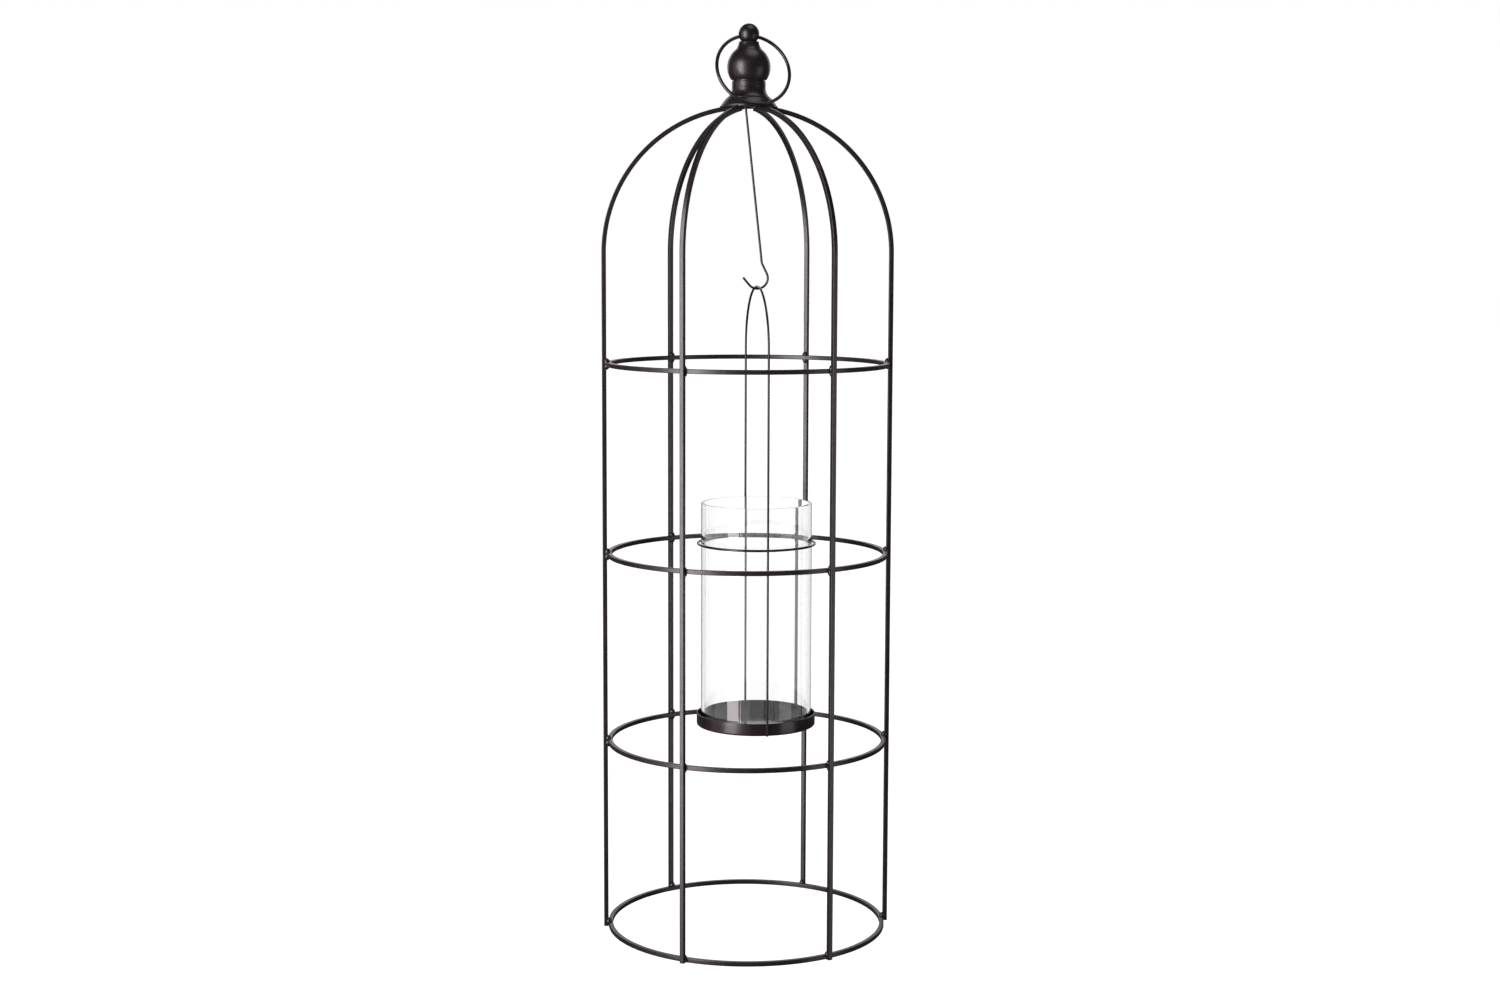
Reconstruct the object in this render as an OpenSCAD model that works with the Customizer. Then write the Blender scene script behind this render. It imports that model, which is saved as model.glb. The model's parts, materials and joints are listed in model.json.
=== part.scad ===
// Hanging hurricane candle lantern: a birdcage of six square bars bent into a dome and welded
// to four hoops, a turned crown with a carry ring, and a glass cylinder in a tray that hangs
// from the crown on a hook rod and a wire bail.
// Millimetres. +Z is up, the origin is at the centre of the footprint, the front faces -Y.

/* [Cage] */
// Width of the cage over two opposite uprights
cage_d = 256; // [220:1:310]
// Height at which the uprights start to bend into the dome
shoulder_z = 601; // [580:0.1:722]
// Side of the square bar that the cage is made of
bar = 4; // [3:0.5:5]
// Distance from one hoop to the next, the lowest hoop standing on the floor
hoop_pitch = 167.5; // [140:0.5:185]
// Radius of a weld bead between a hoop and an upright
bead_r = 2.4; // [1.8:0.1:2.8]
// Radius of a weld bead between an upright and the crown cap
cap_bead_r = 1.2; // [0.8:0.1:1.4]

/* [Crown] */
// Radius of the cap that covers the ends of the uprights
cap_r = 24; // [20:0.1:29]
// Height of the cap
cap_h = 8; // [6:0.5:12]
// Height of the plain edge around the foot of the cap
cap_edge = 1.8; // [1:0.1:2.5]
// Radius of the bore through the cap and up into the skirt
crown_bore = 13; // [12.5:0.1:13.2]
// Radius of the plain band of the skirt
band_r = 14.7; // [14.6:0.1:17]
// Radius of the foot of the skirt
lip_r = 18.4; // [17.5:0.1:19]
// Radius of the hollow curve between the band and the foot
flare_r = 10.5; // [9.5:0.1:12]
// Height of the flared part of the skirt
flare_h = 8.5; // [7.5:0.1:9]
// Height of the whole skirt
skirt_h = 15.3; // [14.8:0.1:20]
// Thickness of the top of the skirt, which the bolt goes through
web = 3.1; // [2:0.1:3.5]
// Radius of the bulb
bulb_r = 18.8; // [17:0.1:20]
// Height of the middle of the bulb above its foot
bulb_rise = 11; // [9:0.1:12]
// Radius of the foot of the collar
collar_r = 11.2; // [10:0.1:12]
// Radius of the top of the collar
collar_top_r = 8.6; // [7:0.1:9.5]
// Height of the collar
collar_h = 6.6; // [5:0.1:8]
// Radius of the ball
ball_r = 9; // [8.6:0.1:11]
// Radius of the flat foot of the ball
ball_foot_r = 6.2; // [5:0.1:6.6]
// Diameter of the spigot that holds the ball to the bulb
spigot_d = 5; // [4:0.5:6]

/* [Bolt and hanger pin] */
// Thread diameter of the crown bolt
bolt_d = 4; // [3:0.5:4.5]
// Width of the bolt head over its flats
bolt_flats = 7; // [6:0.5:7.5]
// Height of the bolt head
bolt_head = 2.8; // [2:0.1:3]
// Length of the bolt under its head
bolt_len = 16; // [12:1:20]
// Diameter of the washer
washer_d = 9; // [8.5:0.1:10]
// Thickness of the washer
washer_t = 0.8; // [0.5:0.1:1]
// Diameter of the hanger pin
pin_d = 2.5; // [2:0.1:2.6]
// Distance of the hanger pin from the axis of the lantern
pin_x = 8; // [7:0.1:9]
// Height of the hanger pin above the foot of the cap
pin_rise = 14.3; // [13.8:0.1:14.6]

/* [Carry ring] */
// Diameter of the middle line of the carry ring
carry_d = 65; // [62:0.5:80]
// Thickness of the carry ring wire
carry_wire = 3; // [2.5:0.1:3.5]
// Depth of the cross hole under the middle of the ball
cross_drop = 2; // [1.5:0.1:2.2]
// Direction of the cross hole, turned from the X axis
cross_turn = 13; // [0:1:25]

/* [Hook rod] */
// Thickness of the hook rod wire
rod_wire = 2; // [1.6:0.1:2.4]
// Distance from the middle of the hanger pin down to the lowest point of the wire
rod_drop = 170.7; // [142:0.05:190]
// Radius of the open lower hook, to the middle of the wire
hook_r = 9.2; // [7:0.1:11]
// Lean of the straight shank from upright
shank_lean = 6.15; // [5.5:0.05:7]

/* [Holder] */
// Thickness of the bail wire
bail_wire = 2; // [1.6:0.1:2.5]
// Height from the floor of the tray up to the middle of the bail wire at its top
bail_h = 388.5; // [340:0.5:430]
// Direction of the plane of the bail, turned from the Y axis
bail_turn = 6; // [0:1:12]
// Thickness of the guard ring wire
guard_wire = 2.2; // [1.8:0.1:2.6]
// Height of the guard ring above the floor of the tray
guard_z = 162; // [100:1:190]
// Outer diameter of the tray
tray_d = 105.6; // [90:0.1:130]
// Height of the tray
tray_h = 11; // [8:0.5:20]
// Thickness of the tray sheet
tray_t = 1; // [0.8:0.1:1.5]
// Radius of the rounded lower edge of the tray
tray_corner = 1.6; // [1:0.1:3]

/* [Glass] */
// Gap between the glass and the guard ring
glass_gap = 1.45; // [1:0.05:4]
// Thickness of the glass wall
glass_t = 2.8; // [2:0.1:4]
// Height of the glass cylinder
glass_h = 198; // [170:1:230]

/* [Fits] */
// Radial clearance between pieces that are fixed together
fit = 0.05; // [0.02:0.01:0.08]
// Radial clearance of the hook eye on the hanger pin
running = 0.06; // [0.03:0.01:0.09]
// Gap between a piece and the surface that it rests on
rest = 0.12; // [0.05:0.01:0.3]
// Clearance around the carry ring in its cross hole
ring_play = 0.32; // [0.3:0.01:0.4]

/* [Hidden] */
$fn = 96;
ROUND = 48;                     // for the section of a wire
BLACK = [0.13, 0.125, 0.13];
SIDES = 6;                      // uprights around the cage

// Cage
bar_r = cage_d / 2 - bar / 2;   // middle line of an upright, and of its bend
face_r = cage_d / 2 - bar;      // inner face of an upright
cap_z = shoulder_z + sqrt(pow(cage_d / 2, 2) - pow(cap_r, 2));

// Crown, stacked from the cap up
skirt_z = cap_z + cap_h;
bulb_z = skirt_z + skirt_h;
bulb_mid = bulb_z + bulb_rise;
collar_z = bulb_mid + sqrt(pow(bulb_r, 2) - pow(collar_r, 2));
ball_z = collar_z + collar_h;
ball_mid = ball_z + sqrt(pow(ball_r, 2) - pow(ball_foot_r, 2));
web_z = bulb_z - web;
washer_z = web_z - washer_t;
spigot_len = collar_h + 8;

// Carry ring: its arc lies evenly about the axis of the cross hole
cross_z = ball_mid - cross_drop;
cross_half = sqrt(pow(ball_r, 2) - pow(cross_drop, 2));
carry_r = carry_d / 2;
carry_sag = carry_r - sqrt(pow(carry_r, 2) - pow(cross_half, 2));
cross_r = carry_wire / 2 + carry_sag / 2 + ring_play;
carry_arm = carry_r - carry_sag / 2;            // cross hole axis to ring centre
carry_reach = carry_arm + carry_r;              // cross hole axis to foot of ring
// The domed top of the cap is part of a ball through its edge and the foot of the skirt
cap_drop = (pow(cap_r, 2) + pow(cap_edge, 2) - pow(lip_r + 0.8, 2) - pow(cap_h, 2))
    / (2 * (cap_edge - cap_h));
cap_dome = sqrt(pow(cap_r, 2) + pow(cap_edge - cap_drop, 2));
// The ring leans forward until its foot lies against the cap: against the upright edge
// where the foot hangs that low, and against the domed top on a wider cap
foot_off = carry_wire / 2 + rest;
edge_lean = asin((cap_r + foot_off) / carry_reach);
dome_h = cross_z - cap_z - cap_drop;            // centre of the dome's ball to cross hole axis
dome_lean = acos((pow(carry_reach, 2) + pow(dome_h, 2) - pow(cap_dome + foot_off, 2))
    / (2 * carry_reach * dome_h));
foot_on_edge = cross_z - carry_reach * cos(edge_lean) < cap_z + cap_edge;
carry_lean = foot_on_edge ? edge_lean : dome_lean;

// Hook rod
pin_z = cap_z + pin_rise;
pin_half = sqrt(pow(band_r - 0.25, 2) - pow(pin_x + pin_d / 2, 2));
eye_r = pin_d / 2 + running + rod_wire / 2;     // middle line of the eye over the pin
hook_z = pin_z - rod_drop;                      // middle of the wire at its lowest point
tip_a = 50;                                     // sweep of the hook from its foot to the tip
tip_len = 8.5;
neck_a = 26;                                    // lean of the neck above the lower hook
neck_len = 9;
neck_r = 6;
arm_a = 55;                                     // lean of the arm up to the pin
arm_r = 3;
// Lengths of shank and arm that bring the eye plumb above the lower hook
path_x = hook_r * cos(neck_a) - neck_len * sin(neck_a) + neck_r * (cos(neck_a) - cos(shank_lean))
    + arm_r * (cos(shank_lean) - cos(arm_a)) + eye_r * cos(arm_a);
path_z = hook_r * (1 + sin(neck_a)) + neck_len * cos(neck_a)
    + neck_r * (sin(neck_a) - sin(shank_lean)) + arm_r * (sin(shank_lean) + sin(arm_a))
    - eye_r * sin(arm_a);
shank_len = (path_x * cos(arm_a) + (rod_drop - path_z) * sin(arm_a)) / sin(arm_a + shank_lean);
arm_len = ((rod_drop - path_z) * sin(shank_lean) - path_x * cos(shank_lean))
    / sin(arm_a + shank_lean);

// Holder, hung on the lower hook
tray_r = tray_d / 2;
bail_r = tray_r + fit + bail_wire / 2;
bail_top = hook_z + rod_wire / 2 + rest + bail_wire / 2;
floor_z = bail_top - bail_h;                    // upper face of the tray floor
tray_z = floor_z - tray_t;
guard_r = bail_r - bail_wire / 2 - fit - guard_wire / 2;
glass_r = guard_r - guard_wire / 2 - glass_gap;

// Square bar bent in the XZ plane: straight from the floor, then a quarter of the dome
module upright(k) {
    color(BLACK) rotate(k * 360 / SIDES) {
        translate([face_r, -bar / 2, 0]) cube([bar, bar, shoulder_z]);
        difference() {
            translate([0, bar / 2, shoulder_z]) rotate([90, 0, 0]) linear_extrude(bar)
                intersection() {
                    difference() {
                        circle(r = cage_d / 2);
                        circle(r = face_r);
                    }
                    translate([crown_bore, 0]) square(cage_d);
                }
            translate([0, -bar, cap_z]) cube([cage_d, 2 * bar, cage_d]);
        }
    }
}

// Half ball of weld metal whose flat lies against the inner face of an upright
module bead(r) {
    intersection() {
        sphere(r, $fn = ROUND);
        translate([-2 * r, -r - 1, -r - 1]) cube([2 * r, 2 * r + 2, 2 * r + 2]);
    }
}

// Hoop of square bar inside the uprights, with its weld beads
module hoop(k) {
    color(BLACK) translate([0, 0, bar / 2 + k * hoop_pitch]) {
        difference() {
            cylinder(r = face_r - fit, h = bar, center = true, $fn = 180);
            cylinder(r = face_r - fit - bar, h = bar + 1, center = true, $fn = 180);
        }
        for (i = [0 : SIDES - 1]) rotate(i * 360 / SIDES) {
            translate([face_r, 0, bar / 2]) bead(bead_r);
            if (k > 0) translate([face_r, 0, -bar / 2]) bead(bead_r);
            // Beads beside the foot of each upright, on facing sides of each pair
            if (k == 0) mirror([0, i % 2, 0]) intersection() {
                translate([face_r - fit, bar / 2, 0]) sphere(bar * 0.45, $fn = ROUND);
                translate([face_r - bar, bar / 2, -bar]) cube(2 * bar);
            }
        }
    }
}

module crown_cap() {
    color(BLACK) translate([0, 0, cap_z]) {
        rotate_extrude($fn = 180) difference() {
            intersection() {
                translate([0, cap_drop]) circle(r = cap_dome, $fn = 180);
                square([cap_r, cap_h]);
            }
            square([crown_bore, cap_h + 1]);
        }
        // Weld beads on the top of each upright, against the edge of the cap
        for (i = [0 : SIDES - 1]) rotate(i * 360 / SIDES) intersection() {
            translate([cap_r, 0, 0]) sphere(cap_bead_r, $fn = ROUND);
            translate([cap_r - bar, -bar, 0]) cube(2 * bar);
        }
    }
}

module crown_skirt() {
    color(BLACK) translate([0, 0, skirt_z]) difference() {
        rotate_extrude() {
            translate([0, flare_h]) square([band_r, skirt_h - flare_h]);
            difference() {
                square([lip_r, flare_h]);
                translate([band_r + flare_r, flare_h]) circle(r = flare_r);
            }
        }
        translate([0, 0, -1]) cylinder(r = crown_bore, h = skirt_h - web + 1);
        cylinder(d = bolt_d + 2 * fit, h = skirt_h + 1, $fn = ROUND);
        translate([pin_x, pin_half + fit, pin_z - skirt_z]) rotate([90, 0, 0])
            cylinder(d = pin_d + 2 * fit, h = 2 * (pin_half + fit), $fn = ROUND);
    }
}

module crown_bulb() {
    color(BLACK) difference() {
        translate([0, 0, bulb_mid]) sphere(bulb_r);
        translate([0, 0, bulb_z - bulb_r]) cylinder(r = 2 * bulb_r, h = bulb_r);
        translate([0, 0, collar_z]) cylinder(r = 2 * bulb_r, h = bulb_r);
        translate([0, 0, bulb_z - 1])
            cylinder(d = bolt_d + 2 * fit, h = bolt_len - web - washer_t + 2, $fn = ROUND);
        translate([0, 0, ball_z - spigot_len - 1])
            cylinder(d = spigot_d + 2 * fit, h = spigot_len, $fn = ROUND);
    }
}

module crown_collar() {
    // Slightly hollow side from the foot to the narrower top
    mid = [(collar_r + collar_top_r) / 2, collar_h / 2];
    chord = norm([collar_r - collar_top_r, collar_h]);
    side_r = 2 * chord;
    off = sqrt(pow(side_r, 2) - pow(chord / 2, 2));
    color(BLACK) translate([0, 0, collar_z]) rotate_extrude() difference() {
        polygon([[spigot_d / 2 + fit, 0], [collar_r, 0], [collar_top_r, collar_h],
            [spigot_d / 2 + fit, collar_h]]);
        translate([mid.x + off * collar_h / chord, mid.y + off * (collar_r - collar_top_r) / chord])
            circle(r = side_r, $fn = 180);
    }
}

module crown_ball() {
    color(BLACK) difference() {
        union() {
            difference() {
                translate([0, 0, ball_mid]) sphere(ball_r);
                translate([0, 0, ball_z - ball_r]) cylinder(r = 2 * ball_r, h = ball_r);
            }
            translate([0, 0, ball_z - spigot_len])
                cylinder(d = spigot_d, h = spigot_len + 0.5, $fn = ROUND);
        }
        translate([0, 0, cross_z]) rotate([0, 0, cross_turn]) rotate([0, 90, 0])
            cylinder(r = cross_r, h = 4 * ball_r, center = true, $fn = ROUND);
    }
}

module crown_bolt() {
    color([0.62, 0.62, 0.63]) translate([0, 0, washer_z]) {
        cylinder(d = bolt_d, h = bolt_len, $fn = ROUND);
        translate([0, 0, -bolt_head]) cylinder(d = bolt_flats / cos(30), h = bolt_head, $fn = 6);
    }
}

module bolt_washer() {
    color([0.62, 0.62, 0.63]) translate([0, 0, washer_z]) difference() {
        cylinder(d = washer_d, h = washer_t);
        translate([0, 0, -1]) cylinder(d = bolt_d + 2 * fit, h = washer_t + 2, $fn = ROUND);
    }
}

module hanger_pin() {
    color([0.62, 0.62, 0.63]) translate([pin_x, pin_half, pin_z]) rotate([90, 0, 0])
        cylinder(d = pin_d, h = 2 * pin_half, $fn = ROUND);
}

module carry_ring() {
    color(BLACK) translate([0, 0, cross_z]) rotate([0, 0, cross_turn]) rotate([-carry_lean, 0, 0])
        translate([0, 0, -carry_arm]) rotate([90, 0, 0]) rotate_extrude()
            translate([carry_r, 0]) circle(d = carry_wire, $fn = ROUND);
}

// Wire laid in the XZ plane from the origin, heading +Z. Each step of the path is a length,
// or a bend as [radius, turn], turning towards +X when the turn is positive.
module wire(d, path, i = 0) {
    if (i < len(path)) {
        step = path[i];
        if (i > 0) sphere(d / 2 + 0.03, $fn = ROUND);   // a hair of metal that ties the steps
        if (is_list(step)) {
            side = sign(step[1]);
            translate([side * step[0], 0, 0]) mirror([side < 0 ? 1 : 0, 0, 0])
                rotate([90, 0, 180]) rotate_extrude(angle = abs(step[1]))
                    translate([step[0], 0]) circle(d = d, $fn = ROUND);
            translate([side * step[0], 0, 0]) rotate([0, step[1], 0])
                translate([-side * step[0], 0, 0]) wire(d, path, i + 1);
        } else {
            cylinder(d = d, h = step, $fn = ROUND);
            translate([0, 0, step]) wire(d, path, i + 1);
        }
    }
}

module hook_rod() {
    color(BLACK) translate([pin_x, 0, hook_z]) {
        translate([-hook_r * sin(tip_a), 0, hook_r * (1 - cos(tip_a))]) rotate([0, 90 + tip_a, 0])
            translate([0, 0, -tip_len]) wire(rod_wire, [
                tip_len, [hook_r, -tip_a - 90 - neck_a], neck_len, [neck_r, neck_a - shank_lean],
                shank_len, [arm_r, arm_a + shank_lean], arm_len, [eye_r, 165]]);
    }
}

module holder_bail() {
    leg = bail_h - bail_r + tray_t;
    color(BLACK) translate([pin_x, 0, tray_z]) rotate(90 + bail_turn)
        translate([-bail_r, 0, 0]) wire(bail_wire, [leg, [bail_r, 180], leg]);
}

module guard_ring() {
    color(BLACK) translate([pin_x, 0, floor_z + guard_z]) rotate_extrude($fn = 180)
        translate([guard_r, 0]) circle(d = guard_wire, $fn = ROUND);
}

module tray() {
    color(BLACK) translate([pin_x, 0, tray_z]) rotate_extrude($fn = 180) {
        square([tray_r - tray_corner, tray_t]);
        translate([tray_r - tray_t, tray_corner]) square([tray_t, tray_h - tray_corner]);
        intersection() {
            translate([tray_r - tray_corner, tray_corner]) difference() {
                circle(r = tray_corner, $fn = ROUND);
                circle(r = tray_corner - tray_t, $fn = ROUND);
            }
            translate([tray_r - tray_corner, 0]) square(tray_corner);
        }
    }
}

module glass_cylinder() {
    color([0.86, 0.9, 0.9, 0.4]) translate([pin_x, 0, floor_z + rest]) difference() {
        cylinder(r = glass_r, h = glass_h, $fn = 180);
        translate([0, 0, -1]) cylinder(r = glass_r - glass_t, h = glass_h + 2, $fn = 180);
    }
}

upright(0);  // upright_right
upright(1);  // upright_back_right
upright(2);  // upright_back_left
upright(3);  // upright_left
upright(4);  // upright_front_left
upright(5);  // upright_front_right
hoop(0);  // base_hoop
hoop(1);  // lower_hoop
hoop(2);  // middle_hoop
hoop(3);  // upper_hoop
crown_cap();
crown_skirt();
crown_bulb();
crown_collar();
crown_ball();
crown_bolt();
bolt_washer();
hanger_pin();
carry_ring();
hook_rod();
holder_bail();
guard_ring();
tray();
glass_cylinder();
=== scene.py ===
"""Looks of a hanging hurricane candle lantern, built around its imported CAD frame.

Each sub-assembly is a class that holds its sizes, builds its meshes and dresses them.
All lengths are metres, in the frame of the CAD part: +Z up, the front faces -Y.
"""

import json
import logging
import math
import random
from dataclasses import dataclass, field
from enum import Enum
from typing import Any, Sequence

import bmesh
import bpy
from mathutils import Matrix, Vector

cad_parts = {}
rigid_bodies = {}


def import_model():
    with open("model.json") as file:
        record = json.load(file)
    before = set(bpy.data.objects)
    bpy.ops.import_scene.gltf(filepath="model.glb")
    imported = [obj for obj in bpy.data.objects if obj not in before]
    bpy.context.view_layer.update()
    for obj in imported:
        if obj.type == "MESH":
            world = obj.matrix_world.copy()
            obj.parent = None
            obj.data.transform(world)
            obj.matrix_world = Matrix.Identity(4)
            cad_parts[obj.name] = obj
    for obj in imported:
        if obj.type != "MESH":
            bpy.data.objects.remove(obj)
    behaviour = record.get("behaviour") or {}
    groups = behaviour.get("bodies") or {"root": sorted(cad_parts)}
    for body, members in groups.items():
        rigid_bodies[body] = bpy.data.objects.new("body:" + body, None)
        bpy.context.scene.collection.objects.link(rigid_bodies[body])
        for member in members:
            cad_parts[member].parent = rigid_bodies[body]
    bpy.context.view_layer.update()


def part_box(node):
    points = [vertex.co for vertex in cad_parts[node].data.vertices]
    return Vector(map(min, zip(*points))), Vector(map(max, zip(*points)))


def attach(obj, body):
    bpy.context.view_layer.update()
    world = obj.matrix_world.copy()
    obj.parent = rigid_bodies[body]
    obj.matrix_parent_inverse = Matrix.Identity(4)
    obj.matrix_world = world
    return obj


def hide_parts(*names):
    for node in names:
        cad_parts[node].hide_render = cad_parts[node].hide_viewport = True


LOG = logging.getLogger("lantern")
MM = 0.001
Point = tuple[float, float]


# --------------------------------------------------------------------------- helpers


def srgb(code: str) -> tuple[float, float, float, float]:
    """Turns an sRGB hex colour into linear RGBA.

    Args:
        code: six hex digits, such as "1b191b".

    Returns:
        The colour as four linear numbers.
    """
    channels = [int(code[i : i + 2], 16) / 255 for i in (0, 2, 4)]
    line = [c / 12.92 if c <= 0.04045 else ((c + 0.055) / 1.055) ** 2.4 for c in channels]
    return (line[0], line[1], line[2], 1.0)


def add(
    tree: bpy.types.NodeTree,
    kind: str,
    links: dict[Any, Any] | None = None,
    **sets: Any,
) -> bpy.types.Node:
    """Adds a node with its settings, socket values and links.

    Args:
        tree: the shader or geometry tree.
        kind: the node's type name.
        links: input name or number, to a value or to an output socket.
        **sets: attributes of the node itself.

    Returns:
        The new node.
    """
    node = tree.nodes.new(kind)
    for name, value in sets.items():
        setattr(node, name, value)
    for key, value in (links or {}).items():
        socket = node.inputs[key]
        if isinstance(value, bpy.types.NodeSocket):
            tree.links.new(value, socket)
        else:
            socket.default_value = value
    return node


def cosine(degrees: float) -> float:
    """Returns the cosine of an angle in degrees."""
    return math.cos(math.radians(degrees))


def sine(degrees: float) -> float:
    """Returns the sine of an angle in degrees."""
    return math.sin(math.radians(degrees))


def baked(piece: bpy.types.Object, live: bpy.types.Modifier) -> bpy.types.Mesh:
    """Runs a piece's modifier and removes it.

    Args:
        piece: object that has the modifier.
        live: the modifier.

    Returns:
        Its result as a plain mesh.
    """
    bpy.context.view_layer.update()
    graph = bpy.context.evaluated_depsgraph_get()
    mesh = bpy.data.meshes.new_from_object(piece.evaluated_get(graph), depsgraph=graph)
    piece.modifiers.remove(live)
    return mesh


def mesh_object(name: str, mesh: bpy.types.Mesh) -> bpy.types.Object:
    """Links a mesh into the scene as an object at the origin."""
    made = bpy.data.objects.new(name, mesh)
    bpy.context.scene.collection.objects.link(made)
    return made


def arc(centre: Point, radius: float, start: float, end: float, steps: int) -> list[Point]:
    """Points along an arc of a profile.

    Args:
        centre: centre of the arc, as (radius from the axis, height).
        radius: radius of the arc.
        start: first angle in degrees, from the outward direction.
        end: last angle in degrees.
        steps: how many steps the arc is cut into.

    Returns:
        steps + 1 points, in order.
    """
    angles = [math.radians(start + (end - start) * i / steps) for i in range(steps + 1)]
    return [(centre[0] + radius * math.cos(a), centre[1] + radius * math.sin(a)) for a in angles]


def rounded(corners: Sequence[tuple[float, float, float]], steps: int = 5) -> list[Point]:
    """Rounds the corners of a closed profile.

    Args:
        corners: (radius from the axis, height, rounding) of each corner, in order.
        steps: how many steps each rounded corner is cut into.

    Returns:
        The points of the rounded outline.
    """
    made: list[Point] = []
    count = len(corners)
    for i, (x, y, r) in enumerate(corners):
        here = Vector((x, y))
        if r <= 0:
            made.append((x, y))
            continue
        back = (Vector(corners[i - 1][:2]) - here).normalized()
        ahead = (Vector(corners[(i + 1) % count][:2]) - here).normalized()
        half = back.angle(ahead) / 2
        if half > math.radians(88):
            made.append((x, y))
            continue
        reach = r / math.tan(half)
        centre = here + (back + ahead).normalized() * (r / math.sin(half))
        a = here + back * reach - centre
        b = here + ahead * reach - centre
        sweep = a.angle_signed(b)
        for k in range(steps + 1):
            turn = Matrix.Rotation(-sweep * k / steps, 2)
            p = centre + turn @ a
            made.append((p.x, p.y))
    return made


def held(outline: Sequence[Point], hold: float = 0.25 * MM) -> list[Point]:
    """Adds a point close to each end of every long straight of a closed outline.

    Smooth shading blends the normals of neighbouring faces. The short faces that this adds
    keep the blend beside the corner, so that a long wall stays flat to light.

    Args:
        outline: closed outline as (radius from the axis, height).
        hold: distance of each added point from the corner.

    Returns:
        The outline with the added points.
    """
    made: list[Point] = []
    for here, ahead in zip(outline, [*outline[1:], outline[0]]):
        made.append(here)
        a, b = Vector(here), Vector(ahead)
        if (b - a).length > 4 * hold:
            way = (b - a).normalized() * hold
            made += [tuple(a + way), tuple(b - way)]
    return made


def lathe(name: str, outline: Sequence[Point], axis: Vector, sides: int = 128) -> bpy.types.Object:
    """Spins a closed outline into a turned piece.

    Args:
        name: name of the piece.
        outline: closed outline as (radius from the axis, height), none of it past the axis.
        axis: a point on the axis; its x and y place the piece.
        sides: how many steps go round.

    Returns:
        The finished object, with its faces pointing outwards.
    """
    form = bmesh.new()
    rings: list[list[bmesh.types.BMVert]] = []
    for r, z in held(outline):
        if r < 1e-7:
            rings.append([form.verts.new((axis.x, axis.y, z))])
            continue
        rings.append(
            [
                form.verts.new(
                    (
                        axis.x + r * math.cos(2 * math.pi * k / sides),
                        axis.y + r * math.sin(2 * math.pi * k / sides),
                        z,
                    )
                )
                for k in range(sides)
            ]
        )
    for lower, upper in zip(rings, rings[1:] + rings[:1]):
        if len(lower) == 1 and len(upper) == 1:
            continue
        for k in range(sides):
            j = (k + 1) % sides
            if len(lower) == 1:
                form.faces.new((lower[0], upper[j], upper[k]))
            elif len(upper) == 1:
                form.faces.new((lower[k], lower[j], upper[0]))
            else:
                form.faces.new((lower[k], lower[j], upper[j], upper[k]))
    bmesh.ops.recalc_face_normals(form, faces=form.faces)
    mesh = bpy.data.meshes.new(name)
    form.to_mesh(mesh)
    form.free()
    smooth(mesh)
    return mesh_object(name, mesh)


def smooth(mesh: bpy.types.Mesh, angle: float = 32.0) -> None:
    """Shades a mesh smooth, but leaves edges sharper than the angle in degrees crisp."""
    form = bmesh.new()
    form.from_mesh(mesh)
    for face in form.faces:
        face.smooth = True
    for edge in form.edges:
        edge.smooth = len(edge.link_faces) == 2 and edge.calc_face_angle(0.0) < math.radians(angle)
    form.to_mesh(mesh)
    form.free()


# --------------------------------------------------------------------------- finishes


@dataclass(frozen=True)
class Finish:
    """A surface finish, made once and shared by all pieces that have it."""

    name: str

    def material(self) -> bpy.types.Material:
        """Returns the finish's material, building it the first time."""
        made = bpy.data.materials.get(self.name)
        if made is None:
            made = bpy.data.materials.new(self.name)
            made.use_nodes = True
            made.node_tree.nodes.clear()
            self.build(made.node_tree)
        return made

    def build(self, tree: bpy.types.NodeTree) -> None:
        """Fills the material's tree."""
        raise NotImplementedError

    def dress(self, piece: bpy.types.Object) -> None:
        """Gives the piece this finish in every slot."""
        mesh = piece.data
        mesh.materials.clear()
        mesh.materials.append(self.material())


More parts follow.
